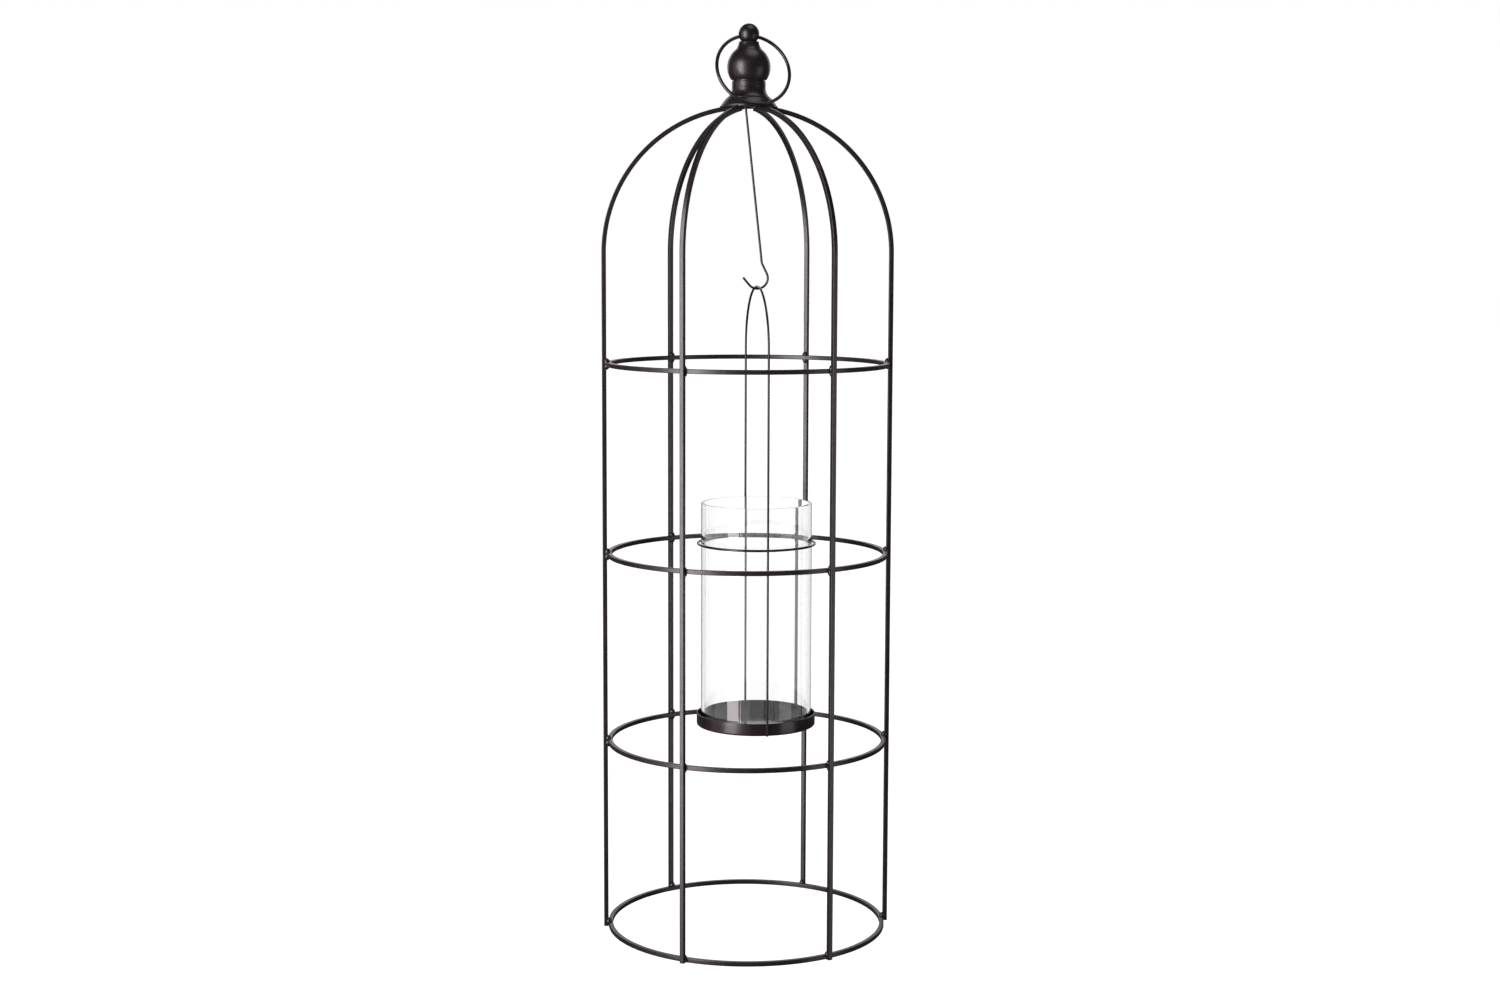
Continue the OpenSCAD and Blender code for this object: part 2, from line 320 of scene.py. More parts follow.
@dataclass(frozen=True)
class BlackEnamel(Finish):
    """Baked black enamel over bent steel bar.

    It is a thick, semi-gloss coat: it flows out into a faint orange peel of about two
    millimetres, holds a few dust nibs, and is a little browner and rougher where it is thin.
    """

    colour: str = "120d10"
    thin_colour: str = "271e22"
    roughness: float = 0.34
    roughness_swing: float = 0.08
    peel_mm: float = 2.4
    peel_height_mm: float = 0.007
    nib_mm: float = 0.7
    pool_mm: float = 0.0
    pool_roughness: float = 0.11
    pool_x_mm: float = 8.0

    def build(self, tree: bpy.types.NodeTree) -> None:
        """Fills the tree: cloudy colour, uneven gloss, orange peel and nibs."""
        where = add(tree, "ShaderNodeTexCoord").outputs["Object"]
        cloud = add(
            tree,
            "ShaderNodeTexNoise",
            {"Vector": where, "Scale": 1 / (38 * MM), "Detail": 4.0, "Roughness": 0.6},
        ).outputs["Fac"]
        streak = add(
            tree,
            "ShaderNodeTexNoise",
            {"Vector": where, "Scale": 1 / (6 * MM), "Detail": 3.0, "Roughness": 0.55},
        ).outputs["Fac"]
        tone = add(
            tree,
            "ShaderNodeMapRange",
            {"Value": cloud, "From Min": 0.35, "From Max": 0.75, "To Min": 0.0, "To Max": 0.7},
        ).outputs["Result"]
        colour = add(
            tree,
            "ShaderNodeMix",
            {"Factor": tone, "A": srgb(self.colour), "B": srgb(self.thin_colour)},
            data_type="RGBA",
        )
        gloss = add(
            tree,
            "ShaderNodeMapRange",
            {
                "Value": streak,
                "From Min": 0.3,
                "From Max": 0.7,
                "To Min": self.roughness - self.roughness_swing / 2,
                "To Max": self.roughness + self.roughness_swing / 2,
            },
        ).outputs["Result"]
        if self.pool_mm:
            gloss = self.pooled(tree, where, gloss)
        peel = add(
            tree,
            "ShaderNodeTexNoise",
            {"Vector": where, "Scale": 1 / (self.peel_mm * MM), "Detail": 1.5, "Roughness": 0.4},
        ).outputs["Fac"]
        nibs = add(
            tree,
            "ShaderNodeTexVoronoi",
            {"Vector": where, "Scale": 1 / (self.nib_mm * 9 * MM)},
            feature="F1",
        ).outputs["Distance"]
        nib = add(
            tree,
            "ShaderNodeMapRange",
            {"Value": nibs, "From Min": 0.0, "From Max": 0.09, "To Min": 1.0, "To Max": 0.0},
        ).outputs["Result"]
        first = add(
            tree,
            "ShaderNodeBump",
            {"Height": peel, "Distance": self.peel_height_mm * MM, "Strength": 1.0},
        ).outputs["Normal"]
        relief = add(
            tree,
            "ShaderNodeBump",
            {"Height": nib, "Distance": 0.02 * MM, "Strength": 0.35, "Normal": first},
        ).outputs["Normal"]
        shader = add(
            tree,
            "ShaderNodeBsdfPrincipled",
            {
                "Base Color": colour.outputs[2],
                "Roughness": gloss,
                "IOR": 1.52,
                "Normal": relief,
            },
        )
        add(tree, "ShaderNodeOutputMaterial", {"Surface": shader.outputs["BSDF"]})


    def pooled(
        self,
        tree: bpy.types.NodeTree,
        where: bpy.types.NodeSocket,
        gloss: bpy.types.NodeSocket,
    ) -> bpy.types.NodeSocket:
        """Makes the enamel glossier inside a dish, where it pooled and flowed level.

        Args:
            tree: the material's tree.
            where: object coordinates.
            gloss: roughness outside the dish.

        Returns:
            The roughness everywhere.
        """
        centred = add(
            tree,
            "ShaderNodeMapping",
            {"Vector": where, "Location": (-self.pool_x_mm * MM, 0.0, 0.0), "Scale": (1.0, 1.0, 0.0)},
        ).outputs["Vector"]
        out = add(tree, "ShaderNodeVectorMath", {0: centred}, operation="LENGTH").outputs["Value"]
        inside = add(
            tree,
            "ShaderNodeMapRange",
            {
                "Value": out,
                "From Min": self.pool_mm * MM,
                "From Max": (self.pool_mm + 0.3) * MM,
                "To Min": 0.0,
                "To Max": 1.0,
            },
        ).outputs["Result"]
        return add(
            tree,
            "ShaderNodeMix",
            {"Factor": inside, "A": self.pool_roughness, "B": gloss},
            data_type="FLOAT",
        ).outputs[0]


@dataclass(frozen=True)
class ZincPlate(Finish):
    """Bright zinc plating on the hidden bolt, washer and pin: pale grey with faint crystals."""

    def build(self, tree: bpy.types.NodeTree) -> None:
        """Fills the tree: metal with a patchy spangle and fine turning lines."""
        where = add(tree, "ShaderNodeTexCoord").outputs["Object"]
        spangle = add(
            tree, "ShaderNodeTexVoronoi", {"Vector": where, "Scale": 1 / (1.6 * MM)}
        ).outputs["Color"]
        grey = add(
            tree,
            "ShaderNodeMix",
            {"Factor": 0.08, "A": srgb("b9babd"), "B": spangle},
            data_type="RGBA",
        )
        lines = add(
            tree, "ShaderNodeTexNoise", {"Vector": where, "Scale": 1 / (0.4 * MM), "Detail": 2.0}
        ).outputs["Fac"]
        rough = add(
            tree,
            "ShaderNodeMapRange",
            {"Value": lines, "To Min": 0.24, "To Max": 0.42},
        ).outputs["Result"]
        shader = add(
            tree,
            "ShaderNodeBsdfPrincipled",
            {"Base Color": grey.outputs[2], "Metallic": 1.0, "Roughness": rough},
        )
        add(tree, "ShaderNodeOutputMaterial", {"Surface": shader.outputs["BSDF"]})


@dataclass(frozen=True)
class ClearGlass(Finish):
    """Machine-drawn soda-lime glass: clear, with faint draw waves up the wall.

    Light that runs along the wall meets far more glass than light that crosses it, so the
    two sides of the sleeve show as thin grey lines.
    """

    tint: str = "fefefe"
    body: str = "9a9b9c"
    body_density: float = 10.0
    wave_mm: float = 26.0

    def build(self, tree: bpy.types.NodeTree) -> None:
        """Fills the tree: a clear transmitting surface with long shallow waves."""
        where = add(tree, "ShaderNodeTexCoord").outputs["Object"]
        long = add(
            tree, "ShaderNodeMapping", {"Vector": where, "Scale": (1.0, 1.0, 0.22)}
        ).outputs["Vector"]
        wave = add(
            tree,
            "ShaderNodeTexNoise",
            {"Vector": long, "Scale": 1 / (self.wave_mm * MM), "Detail": 1.0},
        ).outputs["Fac"]
        relief = add(
            tree, "ShaderNodeBump", {"Height": wave, "Distance": 0.03 * MM, "Strength": 0.3}
        ).outputs["Normal"]
        dust = add(
            tree, "ShaderNodeTexNoise", {"Vector": where, "Scale": 1 / (9 * MM), "Detail": 5.0}
        ).outputs["Fac"]
        rough = add(
            tree,
            "ShaderNodeMapRange",
            {"Value": dust, "From Min": 0.6, "From Max": 0.95, "To Min": 0.0, "To Max": 0.012},
        ).outputs["Result"]
        shader = add(
            tree,
            "ShaderNodeBsdfPrincipled",
            {
                "Base Color": srgb(self.tint),
                "Roughness": rough,
                "IOR": 1.52,
                "Transmission Weight": 1.0,
                "Normal": relief,
            },
        )
        inside = add(
            tree, "ShaderNodeVolumeAbsorption", {"Color": srgb(self.body), "Density": self.body_density}
        )
        add(
            tree,
            "ShaderNodeOutputMaterial",
            {"Surface": shader.outputs["BSDF"], "Volume": inside.outputs["Volume"]},
        )


@dataclass(frozen=True)
class LitSweep(Finish):
    """Opal acrylic table lit from below: even and white, a little mottled as such sheet is."""

    def build(self, tree: bpy.types.NodeTree) -> None:
        """Fills the tree: milky sheet whose own glow makes it white right across."""
        where = add(tree, "ShaderNodeTexCoord").outputs["Object"]
        mottle = add(
            tree, "ShaderNodeTexNoise", {"Vector": where, "Scale": 3.0, "Detail": 3.0}
        ).outputs["Fac"]
        tone = add(
            tree,
            "ShaderNodeMix",
            {"Factor": mottle, "A": srgb("606060"), "B": srgb("686868")},
            data_type="RGBA",
        )
        shader = add(
            tree,
            "ShaderNodeBsdfPrincipled",
            {
                "Base Color": tone.outputs[2],
                "Roughness": 0.9,
                "Specular IOR Level": 0.0,
                "Emission Color": (1.0, 1.0, 1.0, 1.0),
                "Emission Strength": 1.1,
            },
        )
        add(tree, "ShaderNodeOutputMaterial", {"Surface": shader.outputs["BSDF"]})


ENAMEL = BlackEnamel("baked_black_enamel")
TRAY_ENAMEL = BlackEnamel(
    "glossy_black_enamel",
    colour="1a1214",
    roughness=0.24,
    roughness_swing=0.06,
    peel_mm=9.0,
    peel_height_mm=0.006,
    pool_mm=52.0,
)
WIRE_ENAMEL = BlackEnamel("black_wire_enamel", roughness=0.21, roughness_swing=0.05)
ZINC = ZincPlate("bright_zinc_plate")
GLASS = ClearGlass("soda_lime_glass")
SWEEP = LitSweep("opal_acrylic_sheet")


# --------------------------------------------------------------------------- geometry trees


class Input(Enum):
    """Kinds of named input that a geometry tree takes."""

    LENGTH = "NodeSocketFloat"
    COUNT = "NodeSocketInt"
    MATERIAL = "NodeSocketMaterial"
    GEOMETRY = "NodeSocketGeometry"


@dataclass
class Tree:
    """A Geometry Nodes tree built in code, with named inputs."""

    name: str
    inputs: dict[str, Input]
    tree: bpy.types.NodeTree = field(init=False)
    given: bpy.types.Node = field(init=False)

    def __post_init__(self) -> None:
        """Makes the empty tree and its interface."""
        self.tree = bpy.data.node_groups.new(self.name, "GeometryNodeTree")
        face = self.tree.interface
        for label, kind in self.inputs.items():
            face.new_socket(label, in_out="INPUT", socket_type=kind.value)
        face.new_socket("Geometry", in_out="OUTPUT", socket_type="NodeSocketGeometry")
        self.given = self.tree.nodes.new("NodeGroupInput")

    def get(self, label: str) -> bpy.types.NodeSocket:
        """Returns the socket of a named input."""
        return self.given.outputs[label]

    def node(self, kind: str, links: dict[Any, Any] | None = None, **sets: Any) -> bpy.types.Node:
        """Adds a node to the tree, as add() does."""
        return add(self.tree, kind, links, **sets)

    def math(self, operation: str, *values: Any) -> bpy.types.NodeSocket:
        """Adds a Math node and returns its result."""
        return self.node("ShaderNodeMath", dict(enumerate(values)), operation=operation).outputs[0]

    def bar_section(self) -> bpy.types.NodeSocket:
        """Makes the section of a square bar whose edges are a little soft, as bar is rolled.

        Returns:
            The section as a curve, sized by the inputs Bar and Edge.
        """
        square = self.node(
            "GeometryNodeCurvePrimitiveQuadrilateral",
            {"Width": self.get("Bar"), "Height": self.get("Bar")},
        ).outputs[0]
        soft = self.node(
            "GeometryNodeFilletCurve",
            {"Curve": square, "Count": 4, "Radius": self.get("Edge"), "Limit Radius": True},
            mode="POLY",
        ).outputs[0]
        # Even points round the section keep the bar's faces flat between its soft edges
        return self.node("GeometryNodeResampleCurve", {"Curve": soft, "Count": 60}).outputs[0]

    def finish(self, geometry: bpy.types.NodeSocket) -> None:
        """Ends the tree in Realize Instances, smooth shading and Set Material."""
        real = self.node("GeometryNodeRealizeInstances", {"Geometry": geometry}).outputs[0]
        soft = self.node("GeometryNodeSetShadeSmooth", {"Geometry": real}).outputs[0]
        dressed = self.node(
            "GeometryNodeSetMaterial", {"Geometry": soft, "Material": self.get("Finish")}
        ).outputs[0]
        self.node("NodeGroupOutput", {"Geometry": dressed})

    def bake(
        self,
        name: str,
        values: dict[str, Any],
        start: bpy.types.ID | None = None,
    ) -> bpy.types.Object:
        """Runs the tree and keeps its result as a plain mesh.

        Args:
            name: name of the finished piece.
            values: value of each named input.
            start: mesh or curve that the tree starts from, or None.

        Returns:
            A mesh object at the origin, with no modifiers.
        """
        host = bpy.data.objects.new(name + "_host", start or bpy.data.meshes.new(name + "_host"))
        bpy.context.scene.collection.objects.link(host)
        live = host.modifiers.new("tree", "NODES")
        live.node_group = self.tree
        labels = {s.name: s.identifier for s in self.tree.interface.items_tree if s.in_out == "INPUT"}
        for label, value in values.items():
            live[labels[label]] = value
        mesh = baked(host, live)
        bpy.data.objects.remove(host)
        mesh.name = name
        return mesh_object(name, mesh)


def upright_tree() -> Tree:
    """Builds the tree of one bent square bar.

    The path starts as one straight line as long as the whole bar, and whatever lies past
    the shoulder is rolled round the dome.

    Returns:
        The tree, with the sizes of the bar as inputs.
    """
    t = Tree(
        "bent_upright",
        {
            "Geometry": Input.GEOMETRY,
            "Shoulder": Input.LENGTH,
            "Bend Radius": Input.LENGTH,
            "Bend Length": Input.LENGTH,
            "Bar": Input.LENGTH,
            "Edge": Input.LENGTH,
            "Azimuth": Input.LENGTH,
            "Cap Underside": Input.LENGTH,
            "Finish": Input.MATERIAL,
        },
    )
    total = t.math("ADD", t.get("Shoulder"), t.get("Bend Length"))
    end = t.node("ShaderNodeCombineXYZ", {"Z": total}).outputs[0]
    line = t.node("GeometryNodeCurvePrimitiveLine", {"Start": (0.0, 0.0, 0.0), "End": end}).outputs[0]
    fine = t.node("GeometryNodeResampleCurve", {"Curve": line, "Count": 220}).outputs[0]
    place = t.node("GeometryNodeInputPosition").outputs[0]
    along = t.node("ShaderNodeSeparateXYZ", {0: place}).outputs["Z"]
    past = t.math("MAXIMUM", t.math("SUBTRACT", along, t.get("Shoulder")), 0.0)
    angle = t.math("DIVIDE", past, t.get("Bend Radius"))
    out = t.math("MULTIPLY", t.math("COSINE", angle), t.get("Bend Radius"))
    rise = t.math("MULTIPLY", t.math("SINE", angle), t.get("Bend Radius"))
    height = t.math("ADD", t.math("MINIMUM", along, t.get("Shoulder")), rise)
    bent = t.node("ShaderNodeCombineXYZ", {"X": out, "Z": height}).outputs[0]
    path = t.node("GeometryNodeSetPosition", {"Geometry": fine, "Position": bent}).outputs[0]
    profile = t.bar_section()
    bar = t.node(
        "GeometryNodeCurveToMesh", {"Curve": path, "Profile Curve": profile, "Fill Caps": True}
    ).outputs[0]
    # The last stretch is filed flat, so that the cap sits on it
    spot = t.node("ShaderNodeSeparateXYZ", {0: place})
    filed = t.math("MINIMUM", spot.outputs["Z"], t.get("Cap Underside"))
    level = t.node(
        "ShaderNodeCombineXYZ", {"X": spot.outputs["X"], "Y": spot.outputs["Y"], "Z": filed}
    ).outputs[0]
    cut = t.node("GeometryNodeSetPosition", {"Geometry": bar, "Position": level}).outputs[0]
    turn = t.node("ShaderNodeCombineXYZ", {"Z": t.get("Azimuth")}).outputs[0]
    placed = t.node("GeometryNodeTransform", {"Geometry": cut, "Rotation": turn}).outputs[0]
    t.finish(placed)
    return t


def hoop_tree() -> Tree:
    """Builds the tree of a square-bar hoop with a weld bead at every joint.

    Returns:
        The tree, with the sizes of the hoop and its beads as inputs.
    """
    t = Tree(
        "welded_hoop",
        {
            "Geometry": Input.GEOMETRY,
            "Hoop Radius": Input.LENGTH,
            "Bar": Input.LENGTH,
            "Edge": Input.LENGTH,
            "Height": Input.LENGTH,
            "Joints": Input.COUNT,
            "Bead": Input.LENGTH,
            "Bead Below": Input.LENGTH,
            "Side Bead": Input.LENGTH,
            "Floor": Input.LENGTH,
            "Seed": Input.COUNT,
            "Finish": Input.MATERIAL,
        },
    )
    half = t.math("DIVIDE", t.get("Bar"), 2.0)
    middle = t.math("SUBTRACT", t.get("Hoop Radius"), half)
    circle = t.node(
        "GeometryNodeCurvePrimitiveCircle", {"Resolution": 240, "Radius": middle}
    ).outputs["Curve"]
    profile = t.bar_section()
    ring = t.node("GeometryNodeCurveToMesh", {"Curve": circle, "Profile Curve": profile}).outputs[0]
    # One bead is a lump of weld metal, taller and wider than it is deep, with a rippled skin
    lump = t.node("GeometryNodeMeshIcoSphere", {"Radius": 1.0, "Subdivisions": 4}).outputs["Mesh"]
    parts = [ring]
    place = t.node("GeometryNodeInputPosition").outputs[0]
    angle_step = t.math("DIVIDE", 2 * math.pi, t.get("Joints"))
    for number, (size, side, across, up) in enumerate(
        (
            (t.get("Bead"), 0.0, 0.0, 1.0),
            (t.get("Bead Below"), 0.0, 0.0, -1.0),
            (t.get("Side Bead"), 1.0, 1.0, -0.1),
        )
    ):
        spots = t.node(
            "GeometryNodeMeshLine", {"Count": t.get("Joints"), "Offset": (0.0, 0.0, 0.0)}
        ).outputs[0]
        index = t.node("GeometryNodeInputIndex").outputs[0]
        azimuth = t.math("MULTIPLY", index, angle_step)
        # The side beads face each other in pairs
        parity = t.math("SUBTRACT", 1.0, t.math("MULTIPLY", t.math("MODULO", index, 2.0), 2.0))
        shift = t.math("MULTIPLY", t.math("MULTIPLY", parity, across), t.math("MULTIPLY", half, 1.12))
        reach = t.math("ADD", t.get("Hoop Radius"), t.math("MULTIPLY", half, 0.28 * side - 0.12))
        x = t.math(
            "SUBTRACT",
            t.math("MULTIPLY", reach, t.math("COSINE", azimuth)),
            t.math("MULTIPLY", shift, t.math("SINE", azimuth)),
        )
        y = t.math(
            "ADD",
            t.math("MULTIPLY", reach, t.math("SINE", azimuth)),
            t.math("MULTIPLY", shift, t.math("COSINE", azimuth)),
        )
        z = t.math("MULTIPLY", half, up)
        spot = t.node("ShaderNodeCombineXYZ", {"X": x, "Y": y, "Z": z}).outputs[0]
        laid = t.node("GeometryNodeSetPosition", {"Geometry": spots, "Position": spot}).outputs[0]
        jitter = t.node(
            "FunctionNodeRandomValue",
            {2: 0.88, 3: 1.1, "ID": index, "Seed": t.math("ADD", t.get("Seed"), float(number))},
            data_type="FLOAT",
        ).outputs[1]
        grown = t.math("MULTIPLY", size, jitter)
        scale = t.node(
            "ShaderNodeCombineXYZ",
            {
                "X": t.math("MULTIPLY", grown, 0.95),
                "Y": t.math("MULTIPLY", grown, 0.98),
                "Z": t.math("MULTIPLY", grown, 1.12 - 0.3 * side),
            },
        ).outputs[0]
        turn = t.node("ShaderNodeCombineXYZ", {"Z": azimuth}).outputs[0]
        beads = t.node(
            "GeometryNodeInstanceOnPoints",
            {"Points": laid, "Instance": lump, "Rotation": turn, "Scale": scale},
        ).outputs[0]
        real = t.node("GeometryNodeRealizeInstances", {"Geometry": beads}).outputs[0]
        ripple = t.node(
            "ShaderNodeTexNoise",
            {"Vector": place, "Scale": 1 / (1.5 * MM), "Detail": 2.0},
            noise_dimensions="3D",
        ).outputs[0]
        push = t.math("MULTIPLY", t.math("SUBTRACT", ripple, 0.5), 0.9 * MM)
        normal = t.node("GeometryNodeInputNormal").outputs[0]
        offset = t.node(
            "ShaderNodeVectorMath", {0: normal, "Scale": push}, operation="SCALE"
        ).outputs[0]
        parts.append(
            t.node("GeometryNodeSetPosition", {"Geometry": real, "Offset": offset}).outputs[0]
        )
    joined = t.node("GeometryNodeJoinGeometry")
    for part in parts:
        t.tree.links.new(part, joined.inputs[0])
    # Nothing hangs below the plane that the feet stand on
    spot = t.node("ShaderNodeSeparateXYZ", {0: place})
    above = t.math("MAXIMUM", spot.outputs["Z"], t.get("Floor"))
    level = t.node(
        "ShaderNodeCombineXYZ", {"X": spot.outputs["X"], "Y": spot.outputs["Y"], "Z": above}
    ).outputs[0]
    ground = t.node(
        "GeometryNodeSetPosition", {"Geometry": joined.outputs[0], "Position": level}
    ).outputs[0]
    rise = t.node("ShaderNodeCombineXYZ", {"Z": t.get("Height")}).outputs[0]
    placed = t.node("GeometryNodeTransform", {"Geometry": ground, "Translation": rise}).outputs[0]
    t.finish(placed)
    return t


def wire_tree() -> Tree:
    """Builds the tree that lays round wire along a path, whose point radius thins its ends.

    Returns:
        The tree, with the wire's radius as an input.
    """
    t = Tree(
        "round_wire",
        {"Geometry": Input.GEOMETRY, "Wire Radius": Input.LENGTH, "Finish": Input.MATERIAL},
    )
    profile = t.node(
        "GeometryNodeCurvePrimitiveCircle", {"Resolution": 20, "Radius": t.get("Wire Radius")}
    ).outputs["Curve"]
    radius = t.node("GeometryNodeInputRadius").outputs[0]
    wire = t.node(
        "GeometryNodeCurveToMesh",
        {"Curve": t.get("Geometry"), "Profile Curve": profile, "Scale": radius, "Fill Caps": True},
    ).outputs[0]
    t.finish(wire)
    return t


# --------------------------------------------------------------------------- sub-assemblies


@dataclass
class Cage:
    """Six bent uprights welded outside four hoops."""

    bar: float = 4 * MM
    edge: float = 0.55 * MM
    bead: float = 2.7 * MM
    side_bead: float = 2.1 * MM
    weld_gap: float = 0.05 * MM
    cap_radius: float = 24 * MM
    bore: float = 13 * MM
    first_seed: int = 11
    uprights: tuple[str, ...] = (
        "upright_right",
        "upright_back_right",
        "upright_back_left",
        "upright_left",
        "upright_front_left",
        "upright_front_right",
    )
    hoops: tuple[str, ...] = ("base_hoop", "lower_hoop", "middle_hoop", "upper_hoop")

    def build(self) -> None:
        """Builds the uprights and the hoops and puts each on the cage."""
        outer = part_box("upright_right")[1].x
        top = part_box("upright_right")[1].z
        shoulder = top - math.sqrt(outer**2 - self.cap_radius**2)
        bend = outer - self.bar / 2
        tree = upright_tree()
        for k, node in enumerate(self.uprights):
            piece = tree.bake(
                "bar_" + node,
                {
                    "Shoulder": shoulder,
                    "Bend Radius": bend,
                    "Bend Length": bend * math.acos(self.bore / bend),
                    "Bar": self.bar,
                    "Edge": self.edge,
                    "Azimuth": k * math.tau / len(self.uprights),
                    "Cap Underside": top,
                    "Finish": ENAMEL.material(),
                },
            )
            settle(piece, "cage", node)
        tree = hoop_tree()
        for k, node in enumerate(self.hoops):
            low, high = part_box(node)
            height = (low.z + high.z) / 2 if k else self.bar / 2
            piece = tree.bake(
                "bar_" + node,
                {
                    "Hoop Radius": outer - self.bar - self.weld_gap,
                    "Bar": self.bar,
                    "Edge": self.edge,
                    "Height": height,
                    "Joints": len(self.uprights),
                    "Bead": self.bead,
                    "Bead Below": self.bead if k else 0.0,
                    "Side Bead": 0.0 if k else self.side_bead,
                    "Floor": -self.bar / 2 if k == 0 else -self.bar * 2,
                    "Seed": self.first_seed + k,
                    "Finish": ENAMEL.material(),
                },
            )
            settle(piece, "cage", node)


@dataclass
class Crown:
    """Turned pieces stacked on the dome, and the bolt and pin hidden inside them."""

    cap_radius: float = 24 * MM
    cap_edge: float = 1.8 * MM
    bore: float = 13 * MM
    lip: float = 18.4 * MM
    band: float = 14.7 * MM
    flare_radius: float = 10.5 * MM
    flare_height: float = 8.5 * MM
    web: float = 3.1 * MM
    bulb: float = 18.8 * MM
    bulb_rise: float = 11 * MM
    collar: float = 11.2 * MM
    collar_top: float = 8.6 * MM
    ball: float = 9 * MM
    ball_foot: float = 6.2 * MM
    cross_drop: float = 2 * MM
    cross_radius: float = 2.42 * MM
    cross_turn: float = 13.0
    bolt: float = 2.05 * MM
    spigot: float = 2.5 * MM
    play: float = 0.05 * MM
    bars: int = 6
    weld_radius: float = 1.4 * MM
    weld_seed: int = 5
    foot_round: float = 0.4 * MM
    line_cut: float = 0.22 * MM
    top_step: float = 0.9 * MM
    flare_round: float = 0.9 * MM

    def build(self) -> None:
        """Builds the cap, skirt, bulb, collar and ball, and dresses the bolt, washer and pin."""
        for make in (self.make_cap, self.make_skirt, self.make_bulb, self.make_collar, self.make_ball):
            make()
        for node in ("crown_bolt", "bolt_washer", "hanger_pin"):
            ZINC.dress(bpy.data.objects[node])
            LOG.info("%s keeps its CAD shape, zinc plated", node)

    def turned(self, node: str, outline: Sequence[Point]) -> bpy.types.Object:
        """Spins an outline and lets the result stand for a CAD node."""
        piece = lathe("turned_" + node, outline, Vector((0, 0, 0)))
        ENAMEL.dress(piece)
        settle(piece, "cage", node)
        return piece

    def make_cap(self) -> None:
        """Builds the low domed cap over the bar ends, with a rounded foot."""
        z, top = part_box("crown_cap")[0].z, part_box("crown_cap")[1].z
        rim = self.lip + 0.8 * MM
        high = top - z
        # The dome's centre is as far from the cap's edge as from its inner rim
        squares = self.cap_radius**2 + self.cap_edge**2 - rim**2 - high**2
        drop = squares / (2 * (self.cap_edge - high))
        dome = math.hypot(self.cap_radius, self.cap_edge - drop)
        first = math.degrees(math.asin((self.cap_edge - drop) / dome))
        last = math.degrees(math.asin((high - drop) / dome))
        side = arc((0, z + drop), dome, first, last, 14)
        soft = self.foot_round
        foot = arc((self.cap_radius - soft, z + soft), soft, -90, 0, 5)
        outline = [(self.bore, z), *foot, *side, (self.bore, top)]
        piece = lathe("turned_crown_cap", outline, Vector((0, 0, 0)))
        self.weld(piece, z)
        ENAMEL.dress(piece)
        settle(piece, "cage", "crown_cap")

    def weld(self, cap: bpy.types.Object, foot: float) -> None:
        """Adds the lumps of weld metal that hold the cap to the bar ends.

        Args:
            cap: the turned cap, which the lumps join.
            foot: height of the cap's underside.
        """
        form = bmesh.new()
        form.from_mesh(cap.data)
        rough = random.Random(self.weld_seed)
        for k in range(self.bars):
            turn = Matrix.Rotation(math.tau * k / self.bars, 4, "Z")
            size = self.weld_radius * rough.uniform(0.92, 1.0)
            shape = Matrix.Diagonal((1.0, rough.uniform(1.25, 1.5), 1.0, 1.0))
            place = Matrix.Translation((self.cap_radius, 0, foot))
            lump = bmesh.ops.create_icosphere(
                form, subdivisions=3, radius=size, matrix=turn @ place @ shape
            )
            for vert in lump["verts"]:
                vert.co.z = max(vert.co.z, foot)
        for face in form.faces:
            face.smooth = True
        form.to_mesh(cap.data)
        form.free()

    def make_skirt(self) -> None:
        """Builds the flared skirt with its plain band, hollow below."""
        z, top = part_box("crown_skirt")[0].z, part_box("crown_skirt")[1].z
        centre = (self.band + self.flare_radius, z + self.flare_height)
        lowest = math.degrees(math.asin((centre[0] - self.lip) / self.flare_radius))
        flare = arc(centre, self.flare_radius, 270 - lowest, 180, 22)
        lip = [(self.lip - 0.25 * MM, z), (self.lip, z + 0.2 * MM)]
        # A fine turned line sets the band off from the flare, and a bead closes its top
        band = [
            (self.band - self.line_cut, z + self.flare_height + 0.15 * MM),
            (self.band - self.line_cut, z + self.flare_height + 0.45 * MM),
            *arc((self.band - 0.3 * MM, z + self.flare_height + 0.9 * MM), 0.3 * MM, -60, 0, 3),
            *arc((self.band - 0.5 * MM, top - 1.4 * MM), 0.5 * MM, 0, 80, 5),
            (self.band - self.top_step, top - 0.8 * MM),
            (self.band - self.top_step, top),
        ]
        inner = [
            (self.bolt, top),
            (self.bolt, top - self.web),
            (self.bore, top - self.web),
            (self.bore, z),
        ]
        self.turned("crown_skirt", [*lip, *flare, *band, *inner])

    def make_bulb(self) -> None:
        """Builds the bulb: a ball cut off below and above, with softened edges."""
        z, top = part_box("crown_bulb")[0].z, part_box("crown_bulb")[1].z
        mid = z + self.bulb_rise
        low = -math.degrees(math.asin(self.bulb_rise / self.bulb))
        high = math.degrees(math.asin((top - mid) / self.bulb))
        side = arc((0, mid), self.bulb, low + 1.2, high, 64)
        foot = math.sqrt(self.bulb**2 - self.bulb_rise**2)
        under = [(foot - 1.1 * MM, z), (foot - 0.25 * MM, z + 0.06 * MM)]
        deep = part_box("crown_bolt")[1].z + 1 * MM
        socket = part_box("crown_ball")[0].z - 1 * MM
        wide = self.spigot + self.play
        web = [(wide, socket), (0.0, socket), (0.0, deep)] if socket > deep else [(wide, deep)]
        drilled = [(wide, top), *web, (self.bolt, deep), (self.bolt, z)]
        self.turned("crown_bulb", [*under, *side, *drilled])

